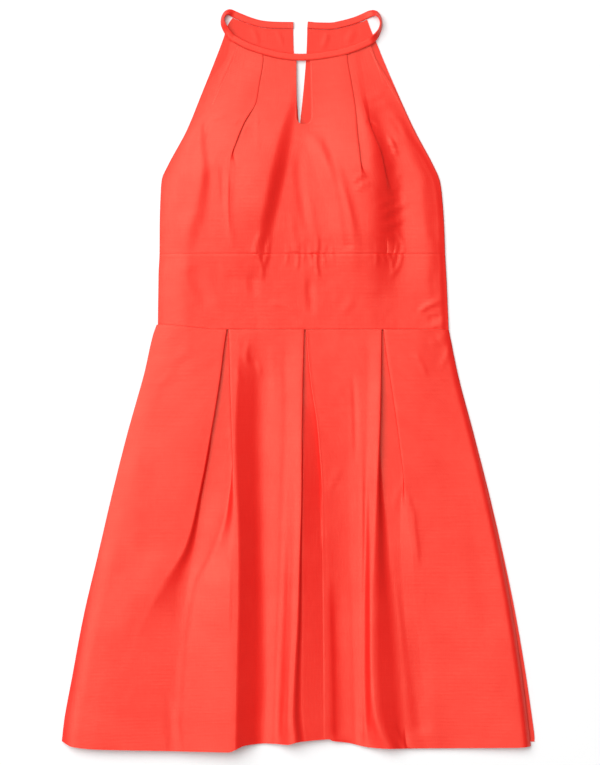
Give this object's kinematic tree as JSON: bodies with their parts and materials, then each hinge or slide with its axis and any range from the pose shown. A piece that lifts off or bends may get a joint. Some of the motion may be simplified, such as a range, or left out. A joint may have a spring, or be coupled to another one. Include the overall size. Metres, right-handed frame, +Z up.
{
  "type": "halter dress laid flat",
  "caption": "Sleeveless halter dress laid flat, front up, with a keyhole neck, narrow neckband, midriff band and pleated A-line skirt.",
  "frame": {"origin": "on the surface the dress lies on, under the middle of its bounding box", "axes": "+Y from the hem to the neck, +X to the right of the dress as seen from above, +Z up out of the surface"},
  "size_m": [0.5858, 0.9194, 0.0231],
  "materials": {
    "taffeta": "plain coral taffeta with a soft silky sheen",
    "neckband_taffeta": "the same taffeta folded and pressed into a narrow band"
  },
  "bodies": {
    "root": {"front_skirt": "taffeta", "front_midriff": "taffeta", "front_bodice": "taffeta", "neckband": "neckband_taffeta", "back_bodice_left": "taffeta", "back_bodice_right": "taffeta", "back_skirt_left": "taffeta", "back_skirt_right": "taffeta"}
  },
  "joints": []
}
